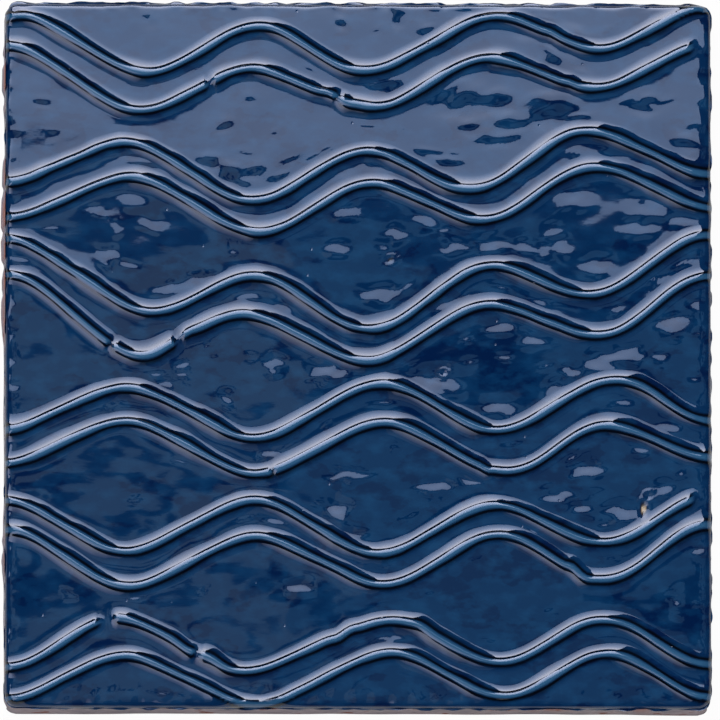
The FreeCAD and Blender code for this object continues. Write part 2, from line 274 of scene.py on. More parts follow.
# The dimples by their lean, from the upper edge of the tile to the lower one.
DIMPLES = {
    # The strip over the first bead, and the field between the first two pairs.
    -3.8: (
        (-44.8, 72.2, 0.8, 0.8), (-44.0, 70.8, 0.7, 0.7), (-3.8, 71.0, 1.1, 0.9), (8.0, 72.1, 1.2, 1.3),
        (14.0, 69.2, 1.6, 1.0), (4.5, 69.8, 0.5, 0.4), (24.2, 73.8, 1.0, 0.9), (36.5, 71.0, 3.2, 1.5),
        (45.0, 67.3, 3.2, 1.5), (53.3, 69.2, 0.4, 0.4), (41.2, 63.2, 1.3, 1.8), (47.8, 59.2, 1.6, 0.8),
        (-22.5, 64.0, 1.0, 0.4), (-10.6, 61.0, 0.6, 0.4), (6.2, 57.4, 2.8, 1.0),
    ),
    -2.5: (
        (-67.1, 54.1, 1.5, 0.6), (-65.2, 47.2, 0.7, 0.6), (-72.8, 47.0, 0.8, 0.6), (-28.5, 49.1, 1.0, 0.8),
        (-31.4, 41.2, 2.4, 1.0), (-27.4, 38.4, 2.6, 1.4), (-23.3, 54.9, 0.9, 0.7), (-18.0, 47.0, 0.6, 0.4),
        (-6.4, 44.0, 0.8, 0.4), (-9.5, 42.3, 0.7, 0.4), (-14.9, 41.5, 0.9, 0.4), (-24.4, 43.2, 0.6, 0.4),
        (-21.9, 39.3, 1.3, 1.0), (-16.6, 37.6, 2.0, 0.7), (-24.4, 36.6, 1.6, 0.8), (23.8, 48.7, 1.3, 0.8),
        (14.2, 43.2, 2.6, 0.7), (18.9, 41.0, 2.8, 0.7), (20.2, 43.2, 1.2, 0.4), (21.7, 54.8, 4.8, 2.0),
        (28.7, 54.5, 3.6, 1.3), (41.2, 52.3, 4.4, 2.0), (32.3, 49.5, 3.0, 1.2), (47.0, 50.8, 2.6, 0.6),
        (30.1, 46.3, 4.4, 0.9), (60.9, 53.8, 2.8, 1.3), (65.8, 54.6, 1.0, 0.6), (69.0, 45.3, 2.0, 1.2),
        (71.5, 48.9, 1.0, 0.5), (46.0, 42.5, 1.4, 0.9), (54.2, 43.4, 2.2, 0.8), (-46.7, 40.2, 4.6, 0.8),
        (2.0, 48.6, 0.4, 0.3), (34.0, 38.0, 2.0, 0.5),
    ),
    # Between the beads of the second pair, and the field under it.
    1.6: (
        (0.8, 40.6, 1.3, 0.7), (-2.3, 38.7, 1.2, 0.8), (4.2, 39.1, 1.6, 0.7), (-48.0, 33.2, 2.8, 1.0),
        (-55.4, 30.8, 1.5, 0.5), (-45.6, 28.5, 1.4, 0.9), (-42.9, 27.4, 1.5, 0.8), (-51.0, 27.2, 0.9, 0.7),
        (-64.8, 26.7, 1.1, 0.3), (-2.1, 30.4, 2.6, 0.9), (14.2, 28.9, 1.8, 1.2), (7.9, 25.7, 1.6, 1.1),
        (19.1, 26.7, 0.8, 0.4), (46.1, 33.6, 3.8, 1.4), (61.4, 31.7, 4.2, 1.6), (59.9, 27.4, 3.8, 1.1),
        (41.2, 26.8, 1.2, 0.8), (68.4, 28.9, 2.4, 0.9),
    ),
    2.1: (
        (-53.3, 21.0, 2.0, 1.0), (-49.0, 19.0, 0.7, 0.6), (-26.8, 22.5, 0.8, 0.7), (-40.6, 14.0, 2.4, 0.9),
        (-32.5, 15.0, 4.2, 1.4), (-71.8, 20.4, 1.8, 0.5), (-4.4, 22.7, 1.7, 0.8), (20.2, 23.1, 2.8, 0.9),
        (4.9, 23.3, 0.9, 0.6), (4.3, 12.9, 3.6, 1.1), (10.4, 14.6, 1.3, 0.6), (-23.3, 12.7, 2.4, 0.7),
        (-15.9, 10.1, 2.0, 0.8), (18.8, 10.7, 3.4, 1.1), (35.4, 23.1, 1.2, 0.9), (39.3, 22.1, 1.0, 0.8),
        (43.6, 23.2, 1.2, 1.3), (50.9, 18.9, 3.2, 1.3), (28.4, 23.6, 2.6, 0.9), (69.8, 20.0, 2.8, 0.6),
        (63.4, 16.5, 1.4, 0.8), (54.9, 10.2, 2.4, 0.8), (40.1, 11.8, 3.2, 0.6), (30.5, 14.4, 1.6, 0.4),
        (-72.8, 12.9, 0.7, 0.6), (72.6, 10.8, 0.9, 1.4),
    ),
    # The field under the third pair, and between the beads of the fourth.
    3.3: (
        (-73.2, 3.9, 0.7, 0.8), (-73.0, -7.4, 0.6, 0.9), (-37.2, -2.2, 0.7, 0.6), (-37.4, -4.8, 1.4, 0.4),
        (-43.3, -4.8, 0.9, 0.5), (-40.6, -6.0, 1.0, 0.6), (-28.0, -9.7, 1.0, 0.8), (-31.4, 1.2, 0.6, 0.4),
        (-53.0, -10.5, 1.3, 0.6), (-18.1, -2.3, 1.7, 1.1), (-6.3, -3.5, 3.8, 1.2), (-23.5, -0.4, 0.5, 0.4),
        (23.1, 3.5, 0.8, 0.5), (23.8, -1.3, 0.8, 0.5), (12.0, -2.4, 0.6, 0.4), (16.8, -6.2, 5.2, 1.8),
        (18.4, -3.6, 0.7, 0.9), (5.0, -10.0, 2.6, 0.5), (-6.5, -14.2, 0.8, 0.5), (30.1, 5.9, 2.6, 0.9),
        (37.2, 3.3, 2.4, 0.9), (67.3, 6.5, 2.8, 1.7), (72.0, 4.8, 1.2, 0.5), (56.6, 0.4, 3.6, 1.2),
        (52.0, -1.6, 3.2, 1.6), (64.1, -0.7, 0.7, 0.8), (45.0, -3.5, 1.6, 0.9), (39.7, -2.5, 1.4, 0.4),
        (30.8, -0.3, 0.6, 0.6), (71.1, -5.4, 1.1, 0.6), (30.1, -11.2, 3.2, 1.1), (42.5, -7.8, 2.2, 1.5),
        (56.7, -9.9, 1.8, 0.9), (46.4, -11.4, 1.0, 0.5), (66.2, -15.0, 3.2, 1.0), (32.9, -18.6, 3.0, 0.6),
    ),
    # The field under the fourth pair, and between the beads of the fifth.
    4.4: (
        (-19.0, -20.7, 1.6, 0.9), (-38.4, -22.3, 0.9, 0.4), (-2.0, -25.5, 4.0, 0.7), (7.2, -19.6, 0.5, 0.4),
        (45.7, -21.7, 1.8, 0.7), (48.9, -24.7, 2.8, 1.4), (68.9, -24.4, 1.1, 0.9), (59.7, -20.3, 1.3, 0.6),
        (16.3, -28.0, 3.2, 1.0), (23.8, -27.0, 2.4, 0.6), (-4.3, -33.3, 1.5, 1.8), (-8.1, -31.2, 0.5, 0.6),
        (11.7, -34.1, 0.7, 0.6), (8.9, -34.9, 0.9, 0.4), (-1.7, -38.4, 2.8, 0.8), (-16.6, -35.2, 3.4, 0.7),
        (-23.6, -34.5, 1.4, 0.4), (42.9, -30.1, 3.2, 1.1), (47.4, -32.8, 2.6, 0.9), (56.0, -33.6, 3.2, 1.4),
        (64.9, -28.5, 1.6, 1.0), (49.3, -27.3, 3.0, 0.7), (52.0, -36.1, 0.8, 0.7), (49.8, -31.2, 0.8, 0.5),
        (36.5, -37.4, 1.6, 0.4), (-47.8, -31.2, 0.6, 0.5), (73.0, -33.0, 0.7, 1.0),
    ),
    5.6: (
        (1.5, -44.4, 1.0, 0.4), (7.5, -44.4, 1.1, 0.4), (-8.0, -41.9, 0.7, 0.5), (15.3, -42.3, 0.9, 0.4),
        (-12.7, -49.6, 1.9, 0.9), (14.9, -50.5, 1.2, 0.4), (25.2, -43.0, 0.8, 0.5), (7.1, -60.0, 3.0, 0.6),
        (-22.2, -70.0, 0.7, 0.7), (53.0, -43.0, 1.6, 0.4), (72.0, -41.6, 0.8, 0.9), (73.4, -51.9, 0.9, 0.7),
        (40.8, -54.5, 0.9, 0.4), (28.4, -60.6, 1.4, 0.5), (48.9, -59.4, 1.2, 0.3), (-61.5, -51.0, 0.6, 0.6),
        (-47.6, -51.7, 0.6, 0.6), (-32.7, -49.6, 0.5, 0.4), (67.5, -52.5, 0.5, 1.6), (-60.5, -69.8, 0.7, 0.9),
        (-53.0, -71.4, 1.4, 0.5), (-41.0, -71.8, 1.2, 0.5), (-30.0, -72.0, 1.0, 0.4),
    ),
}


@dataclass(frozen=True)
class Pit:
    """A pit where a bubble burst in the glaze, with a raised lip round it.

    Clay burnt dark shows in it where it is burnt, and a sliver of pale clay where it is chipped.
    """

    across: float
    up: float
    wide: float
    tall: float
    depth: float
    burnt: bool = False
    chipped: bool = False
    lip: float = 0.05
    lip_at: float = 1.4
    lip_reach: float = 0.4
    burnt_fade: Span = (0.6, 1.2)
    chip_fade: Span = (0.4, 0.65)
    column_shares: tuple[float, ...] = (-1.0, -0.4, 0.4, 1.0)

    def distance(self, across: Array, up: Array) -> Array:
        """Distance of places on the face from the middle of the pit, as a share of its size."""
        return np.hypot((across - self.across) / self.wide, (up - self.up) / self.tall)

    def height(self, across: Array, up: Array) -> Array:
        """Height that the pit and its lip give to places on the face."""
        away = self.distance(across, up)
        return self.lip * bell(away - self.lip_at, self.lip_reach) - self.depth * np.exp(-(away**4))

    def burnt_clay(self, across: Array, up: Array) -> Array:
        """How far the burnt clay shows at places on the face, from 0 to 1."""
        return self.burnt * (1.0 - ease(self.distance(across, up), *self.burnt_fade))

    def chipped_clay(self, across: Array, up: Array) -> Array:
        """How far the sliver of pale clay shows at places on the face, from 0 to 1."""
        return self.chipped * (1.0 - ease(self.distance(across, up), *self.chip_fade))


PITS = (
    Pit(6.8, 20.5, 0.6, 0.45, 0.3, burnt=True),
    Pit(60.6, -32.6, 0.75, 1.7, 0.35, burnt=True, chipped=True, lip=0.1),
    Pit(61.6, -29.8, 0.7, 0.8, 0.12, lip=0.12),
    Pit(18.2, -3.6, 0.6, 0.6, 0.12, lip=0.14),
)


@dataclass(frozen=True)
class EdgeFinish:
    """How one edge of the tile turned out.

    Its round is a share of the slab's, and so is how far the bare side spreads below the glaze. The lip
    of the glaze bulges out by its own amount. The glaze has fallen off along the bare stretches.
    """

    arris_share: float
    clay_share: float
    bulge: float
    rough_reach: float
    bare: tuple[Span, ...] = ()


EDGES = {
    Edge.LOWER: EdgeFinish(1.0, 1.0, 0.3, 6.0, ((38.0, 42.0), (58.0, 61.0))),
    Edge.RIGHT: EdgeFinish(1.2, 0.15, 0.12, 2.4),
    Edge.UPPER: EdgeFinish(
        0.5, 0.4, 0.4, 1.8, ((-66.4, -63.3), (-50.5, -48.5), (-30.4, -26.1), (61.6, 63.3))
    ),
    Edge.LEFT: EdgeFinish(0.9, 0.3, 0.05, 2.4, ((5.4, 42.5), (53.8, 66.0), (-45.7, -39.3))),
}


@dataclass(frozen=True)
class Slab:
    """The clay slab: its face, its thickness and how its edges are rounded."""

    face: float = 150.0
    body_depth: float = 11.0
    relief_rise: float = 1.1
    side_draft: float = 0.8
    corner_round: float = 2.8
    arris_round: float = 1.6
    back_ease: float = 0.4
    arris_play: Span = (-0.4, 0.5)

    @property
    def half(self) -> float:
        """Half of the face."""
        return self.face / 2

    def insets(self, across: Array, up: Array) -> dict[Edge, Array]:
        """How far places on the face lie inside each edge."""
        return dict(zip(Edge, (self.half + up, self.half - across, self.half - up, self.half + across)))

    def rounded_inset(self, across: Array, up: Array) -> Array:
        """Inset from the nearest edge, stretched where that edge's round is tighter than the slab's.

        Args:
            across: Places from side to side.
            up: Places from the lower to the upper edge.

        Returns:
            The inset at which the slab's own arris has the height of each place.
        """
        nearest = np.full(up.shape, self.half)
        for edge, inset in self.insets(across, up).items():
            along = edge.along(across, up)
            uneven = Ripples(seed=90 + edge.value, shortest=1.6, longest=12.0, slope_degrees=14.0, count=40)
            play = np.clip(uneven.height(along, np.zeros_like(along)), *self.arris_play)
            nearest = np.minimum(nearest, inset / (EDGES[edge].arris_share * (1.0 + play)))
        return nearest

    def arris_drop(self, inset: Array) -> Array:
        """How far the rounded arris lies under the face, by the inset from the edge."""
        return self.quarter_drop(inset, self.arris_round)

    def relief_limit(self, inset: Array) -> Array:
        """The greatest height that relief may reach, which falls away over the arris."""
        drop = self.quarter_drop(inset, self.arris_round + self.relief_rise)
        return self.body_depth + self.relief_rise - drop

    @staticmethod
    def quarter_drop(inset: Array, radius: float) -> Array:
        """Drop of a quarter round of that radius, by the inset from where it ends."""
        reach = np.clip(radius - inset, 0.0, radius)
        return radius - np.sqrt(radius * radius - reach * reach)

    def round_corners(self, across: Array, up: Array) -> tuple[Array, Array]:
        """Draws the square's corners in to their radius.

        Args:
            across: Places from side to side, on the square.
            up: Places from the lower to the upper edge, on the square.

        Returns:
            The places moved on to the rounded square.
        """
        core = self.half - self.corner_round
        u = np.clip((np.abs(across) - core) / self.corner_round, 0.0, None)
        v = np.clip((np.abs(up) - core) / self.corner_round, 0.0, None)
        both = (u > 0) & (v > 0)
        scale = np.where(both, np.maximum(u, v) / np.maximum(np.hypot(u, v), TINY), 1.0)
        moved_across = np.where(both, np.sign(across) * (core + u * scale * self.corner_round), across)
        moved_up = np.where(both, np.sign(up) * (core + v * scale * self.corner_round), up)
        return moved_across, moved_up


@dataclass(frozen=True)
class BeadSection:
    """The section of a bead: a round crown that turns into the hollow at its foot."""

    ogee_rise: float = 0.96
    crown_round: float = 0.95
    foot_round: float = 2.2
    swell_rise: float = 0.05
    swell_reach: float = 2.2
    end_steepness: float = 1.7

    @property
    def foot(self) -> float:
        """How far the ogee's foot lies from the centre line."""
        fall = self.foot_round - (self.ogee_rise - self.crown_round)
        return math.sqrt((self.crown_round + self.foot_round) ** 2 - fall**2)

    def ogee(self, distance: Array) -> Array:
        """Height of the ogee above the field.

        Args:
            distance: Distances from the centre line.

        Returns:
            The height at each distance.
        """
        turn = self.foot * self.crown_round / (self.crown_round + self.foot_round)
        near = np.clip(distance, 0.0, turn)
        crown = self.ogee_rise - self.crown_round + np.sqrt(self.crown_round**2 - near**2)
        far = np.clip(self.foot - distance, 0.0, self.foot - turn)
        hollow = self.foot_round - np.sqrt(self.foot_round**2 - far**2)
        return np.where(distance < turn, crown, hollow)

    def swell(self, distance: Array) -> Array:
        """The slow rise of the field towards a bead, where the glaze is drawn up to it."""
        return self.swell_rise * bell(distance, self.swell_reach)


@dataclass(frozen=True)
class Bead:
    """One raised bead: its number from the upper edge, and how it strays from an even wave.

    The shifts are in steps of hand_step: along the tile at each crest and trough, and up or down it at
    the left side, at each crest and trough, and at the right side. A break is its place as a share of
    half the face, and its opening. A nudge or a bulge is its place across the tile, its reach, and how
    far the bead moves up the tile there or how much wider it is.
    """

    number: int
    along: tuple[int, ...]
    across: tuple[int, ...]
    breaks: tuple[Span, ...] = ()
    short_by: float = 0.0
    nudges: tuple[tuple[float, float, float], ...] = ()
    bulges: tuple[tuple[float, float, float], ...] = ()
    face: float = 150.0
    pair_count: int = 6
    wave_count: int = 3
    wave_corner: float = 6.9
    wave_round: float = 12.0
    pair_gap: float = 7.6
    hand_step: float = 0.5
    arc_points: int = 12
    smooth_over: float = 7.0
    uneven: float = 0.17

    @property
    def break_sides(self) -> list[float]:
        """Places of both sides of each break, from side to side."""
        half = self.face / 2
        return [share * half + side * opening / 2 for share, opening in self.breaks for side in (-1, 1)]

    def corners(self) -> list[Vector]:
        """The corners of the bead's zigzag, and one more past each side.

        Returns:
            The corners, from left to right.
        """
        pair, lower = divmod(self.number - 1, 2)
        half_wave = self.face / (2 * self.wave_count)
        middle = self.face / 2 - (pair + 0.5) * self.face / self.pair_count
        middle += -self.pair_gap / 2 if lower else self.pair_gap / 2
        last = 2 * self.wave_count
        corners = []
        for i in range(last + 1):
            crest = 1 if (i + pair) % 2 == 0 else -1
            shift = self.along[i - 1] if 0 < i < last else 0
            x = -self.face / 2 + i * half_wave + shift * self.hand_step
            corners.append(Vector((x, middle + crest * self.wave_corner + self.across[i] * self.hand_step)))
        before = Vector((2 * corners[0].x - corners[1].x, corners[1].y))
        after = Vector((2 * corners[-1].x - corners[-2].x, corners[-2].y))
        return [before, *corners, after]

    def centre(self, across: Array) -> Array:
        """Height up the tile of the bead's centre line.

        Args:
            across: Places from side to side, evenly spaced.

        Returns:
            The centre line's place up the tile at each of them.
        """
        corners = self.corners()
        points = [corners[0]]
        for before, corner, after in zip(corners, corners[1:], corners[2:]):
            back, ahead = (before - corner).normalized(), (after - corner).normalized()
            half_angle = back.angle(ahead) / 2
            centre = corner + (back + ahead).normalized() * (self.wave_round / math.sin(half_angle))
            first = corner + back * (self.wave_round / math.tan(half_angle)) - centre
            last = corner + ahead * (self.wave_round / math.tan(half_angle)) - centre
            for i in range(self.arc_points + 1):
                turned = first.lerp(last, i / self.arc_points).normalized() * self.wave_round
                points.append(centre + turned)
        points.append(corners[-1])
        step = float(across[1] - across[0])
        reach = max(1, round(self.smooth_over / step))
        past = step * np.arange(1, reach + 1)
        wide = np.concatenate([across[0] - past[::-1], across, across[-1] + past])
        line = smooth(np.interp(wide, [p.x for p in points], [p.y for p in points]), reach)
        for place, nudge_reach, shift in self.nudges:
            line = line + shift * bell(across - place, nudge_reach)
        hand = Ripples(seed=40 + self.number, shortest=5.0, longest=24.0, slope_degrees=1.7, count=10)
        return line + hand.height(across, np.zeros_like(across))

    def thinness(self, across: Array) -> Array:
        """How much narrower than its section the bead is: over 1 where it is thin, under 1 where it bulges.

        Args:
            across: Places from side to side.

        Returns:
            The share at each place.
        """
        hand = Ripples(seed=70 + self.number, shortest=2.6, longest=18.0, slope_degrees=3.4, count=12)
        share = 1.0 + np.clip(hand.height(across, np.zeros_like(across)), -self.uneven, self.uneven)
        for place, reach, gain in self.bulges:
            share = share - gain * bell(across - place, reach)
        return share

    def runs(self, lowest: float, highest: float) -> list[Span]:
        """The stretches of the bead between its breaks.

        Args:
            lowest: Where the bead starts at the left.
            highest: Where it ends at the right, if it isn't short.

        Returns:
            The start and end of each stretch, from side to side.
        """
        last = self.face / 2 - self.short_by if self.short_by else highest
        ends = [lowest, *self.break_sides, last]
        return list(zip(ends[0::2], ends[1::2]))


BEADS = (
    Bead(1, (11, 7, 2, 8, 3), (5, -3, -1, -2, 2, 9, 7), nudges=((-75.5, 4.5, -1.6), (41.0, 1.6, 0.3))),
    Bead(
        2,
        (6, 3, 9, 3, 3),
        (6, -4, -6, -1, -1, 8, 6),
        ((-0.42, 2.2), (-0.057, 1.5)),
        short_by=4.5,
        nudges=((-6.2, 1.6, 0.35), (-2.4, 1.6, -0.3), (45.0, 1.2, 0.25)),
    ),
    Bead(3, (3, 5, 3, -1, -5), (2, -2, -8, -5, -3, 4, 6)),
    Bead(4, (5, 8, 4, 5, -1), (2, -2, -6, -4, 0, 4, 7)),
    Bead(5, (12, 7, 5, 4, 1), (8, -5, -8, -14, -4, 3, 12)),
    Bead(
        6,
        (4, 0, 5, 4, 6),
        (11, -8, -10, -10, -6, 1, 11),
        ((-0.70, 1.7), (-0.51, 2.6)),
        nudges=((-45.8, 4.8, -1.0), (-36.0, 2.0, 0.5)),
        bulges=((-45.8, 4.2, 0.2), (-36.5, 1.6, -0.2)),
    ),
    Bead(7, (1, 7, 10, 9, 11), (-4, -7, -8, -4, -5, -1, -3)),
    Bead(8, (2, 6, 11, 15, 2), (-3, -6, -8, -6, -8, -7, 1), ((-0.243, 1.5),), nudges=((27.5, 1.0, -0.35),)),
    Bead(9, (1, 6, 9, 7, 6), (-4, -7, -4, -8, -6, -3, 0), short_by=4.5),
    Bead(
        10,
        (1, 5, 13, 11, 6),
        (0, -7, -5, -5, -2, -6, 6),
        nudges=((45.4, 1.3, 0.5), (48.6, 1.6, -0.35)),
        bulges=((46.0, 1.6, 0.15),),
    ),
    Bead(
        11,
        (-2, 0, 15, 11, 4),
        (-7, -4, -7, -6, -4, -4, -5),
        ((-0.712, 4.6), (-0.455, 2.3)),
        nudges=(
            (-36.4, 2.0, -0.4),
            (-31.0, 2.4, 0.6),
            (-4.4, 1.4, -0.35),
            (-1.4, 1.6, 0.35),
            (13.0, 1.8, 0.35),
        ),
        bulges=((-49.0, 2.0, 0.2), (-56.5, 2.5, -0.2), (-31.0, 2.0, 0.15), (19.0, 5.0, 0.15)),
    ),
    Bead(12, (1, 7, 14, 13, 6), (-4, -6, -6, -4, -3, -3, -4)),
)


@dataclass(frozen=True)
class FaceGrid:
    """The places of the face's vertices: columns across the tile, and rows that follow the beads."""

    columns: int = 154
    columns_at_break: tuple[float, ...] = (-0.25, 0.25)
    clearance: float = 0.2
    least_column_gap: float = 0.12
    arris_rings: int = 7
    half_bead_offsets: tuple[float, ...] = (0.35, 0.68, 0.9, 1.2, 1.65, 2.25)
    rows_in_pair: int = 7
    rows_between_pairs: int = 43
    rows_at_lower_edge: int = 7
    rows_at_upper_edge: int = 22
    least_spacing: float = 0.05

    @property
    def bead_offsets(self) -> tuple[float, ...]:
        """Places of the rows over a bead, from its lower foot to its upper one."""
        return (*(-offset for offset in reversed(self.half_bead_offsets)), 0.0, *self.half_bead_offsets)

    def ring_insets(self, slab: Slab) -> Array:
        """Insets of the rings over the arris, from the edge inward, evenly spaced round it."""
        turns = np.linspace(math.pi / 2, 0.0, self.arris_rings + 1)
        return slab.arris_round * (1.0 - np.sin(turns))

    def across(self, slab: Slab) -> Array:
        """Places of the columns: closer over the sides, at each break and round each pit.

        Args:
            slab: The slab that the grid covers.

        Returns:
            The places, from the left edge to the right.
        """
        rings = self.ring_insets(slab)
        limit = slab.half - slab.arris_round
        middle = np.linspace(-limit, limit, self.columns + 1)[1:-1]
        sides = [side for bead in BEADS for side in bead.break_sides]
        extra = [side + shift for side in sides for shift in self.columns_at_break]
        extra += [pit.across + share * pit.wide for pit in PITS for share in pit.column_shares]
        clear = np.abs(middle[:, None] - np.array(extra)).min(axis=1) > self.clearance
        middle = np.sort(np.concatenate([middle[clear], extra]))
        middle = middle[np.append(True, np.diff(middle) > self.least_column_gap)]
        return np.concatenate([-slab.half + rings, middle, slab.half - rings[::-1]])

    def up(self, slab: Slab, centres: list[Array], steepness: list[Array]) -> Array:
        """Places of the rows in each column, from the lower edge to the upper.

        Args:
            slab: The slab that the grid covers.
            centres: Each bead's centre line, from the upper edge down.
            steepness: How much longer a cut up the tile is than one square to the bead.

        Returns:
            An array of columns by rows.
        """
        limit = slab.half - slab.arris_round
        rows: list[Array] = []
        for number in range(len(centres) - 1, -1, -1):
            feet = [centres[number] + d * steepness[number] for d in self.bead_offsets]
            start = rows[-1] if rows else np.full_like(feet[0], -limit)
            if not rows:
                rows.append(start)
                between = self.rows_at_lower_edge
            else:
                between = self.rows_in_pair if number % 2 == 0 else self.rows_between_pairs
            for i in range(1, between):
                rows.append(start + (feet[0] - start) * i / between)
            rows += feet
        start = rows[-1]
        for i in range(1, self.rows_at_upper_edge + 1):
            rows.append(start + (limit - start) * i / self.rows_at_upper_edge)
        inner = np.stack(rows, axis=1)
        order = np.arange(inner.shape[1])
        inner = np.maximum(inner, -limit + self.least_spacing * order)
        inner = np.minimum(inner, limit - self.least_spacing * order[::-1])
        rings = np.broadcast_to(self.ring_insets(slab)[:-1], (inner.shape[0], self.arris_rings))
        return np.concatenate([-slab.half + rings, inner, (slab.half - rings)[:, ::-1]], axis=1)


@dataclass
class Relief:
    """Everything that gives the face its height: the beads, the field between them and its flaws."""

    slab: Slab
    section: BeadSection = field(default_factory=BeadSection)
    field_waves: tuple[Ripples, ...] = (
        Ripples(seed=3, shortest=16.0, longest=45.0, slope_degrees=0.2),
        Ripples(seed=8, shortest=2.4, longest=6.0, slope_degrees=0.08, stretch=1.6, count=60),
        Ripples(seed=9, shortest=6.0, longest=15.0, slope_degrees=0.2, stretch=1.3, count=40),
    )
    warp_across: Ripples = Ripples(seed=61, shortest=2.0, longest=7.0, slope_degrees=30.0, count=40)
    warp_up: Ripples = Ripples(seed=62, shortest=1.6, longest=6.0, slope_degrees=24.0, count=40)
    edge_waves: Ripples = Ripples(seed=12, shortest=1.3, longest=4.5, slope_degrees=3.5, count=60)
    field_fade: Span = (0.6, 2.6)
    crown_fade: Span = (0.3, 0.75)
    # Where the near-black band lies on each bead's flanks: painted shade, partly pooled glaze.
    pool_and_shade_start: Span = (0.5, 0.85)
    pool_and_shade_end: Span = (1.0, 1.7)
    past_edge: float = 10.0
    height: Array = field(init=False)
    masks: dict[str, Array] = field(init=False)

    def shape(self, across: Array, up: Array, centres: list[Array]) -> None:
        """Works out the height and the masks of the glaze for every place of the grid.

        Args:
            across: The columns' places from side to side.
            up: The rows' places up the tile, as columns by rows.
            centres: Each bead's centre line, from the upper edge down.
        """
        places = np.broadcast_to(across[:, None], up.shape)
        ridge = np.zeros_like(up)
        nearest = np.full_like(up, FAR)
        for bead, centre in zip(BEADS, centres):
            distance = self.distance_to(bead, places, up, across, centre) * bead.thinness(across)[:, None]
            ridge = np.maximum(ridge, self.section.ogee(distance))
            nearest = np.minimum(nearest, distance)
        inset = self.slab.rounded_inset(places, up)
        level = self.slab.body_depth - self.slab.arris_drop(inset)
        warped = places + self.warp_across.height(places, up), up + self.warp_up.height(places, up)
        fields = sum(waves.height(places, up) for waves in self.field_waves)
        fields = fields + sum(Dimples(lean, group).height(*warped) for lean, group in DIMPLES.items())
        calm = ease(inset, 0.0, self.slab.arris_round)
        level = level + calm * fields * ease(nearest, *self.field_fade)
        rough = np.zeros_like(up)
        for edge, gap in self.slab.insets(places, up).items():
            rough = np.maximum(rough, 1.0 - ease(gap, 0.0, EDGES[edge].rough_reach))
        level = level + rough * self.edge_waves.height(places, up)
        level = level + sum(pit.height(places, up) for pit in PITS)
        relief = level + ridge + calm * self.section.swell(nearest)
        self.height = np.minimum(relief, self.slab.relief_limit(inset))
        self.masks = {
            "crown": 1.0 - ease(nearest, *self.crown_fade),
            # Near-black band down the bead flanks: painted shade, partly pooled glaze.
            "pool_and_shade": ease(nearest, *self.pool_and_shade_start) * (1.0 - ease(nearest, *self.pool_and_shade_end)),
            "burnt": sum(pit.burnt_clay(places, up) for pit in PITS),
            "chipped": sum(pit.chipped_clay(places, up) for pit in PITS),
        }

    def distance_to(self, bead: Bead, places: Array, up: Array, across: Array, centre: Array) -> Array:
        """Distance from each place of the grid to a bead's centre line, round its ends too.

        Args:
            bead: The bead.
            places: The grid's places from side to side, as columns by rows.
            up: The grid's places up the tile, as columns by rows.
            across: The columns' places from side to side.
            centre: The bead's centre line at each column.

        Returns:
            The distance at each place, longer past an end so that the bead ends bluntly.
        """
        slope = np.gradient(centre, across)
        lean = (1.0 / np.sqrt(1.0 + slope * slope))[:, None]
        square = (up - centre[:, None]) * lean
        foot = places + square * slope[:, None] * lean
        distance = np.full_like(up, FAR)
        for start, end in bead.runs(across[0] - self.past_edge, across[-1] + self.past_edge):
            past = np.maximum(np.maximum(start - foot, foot - end), 0.0) / lean
            distance = np.minimum(distance, np.hypot(square, past * self.section.end_steepness))
        return distance


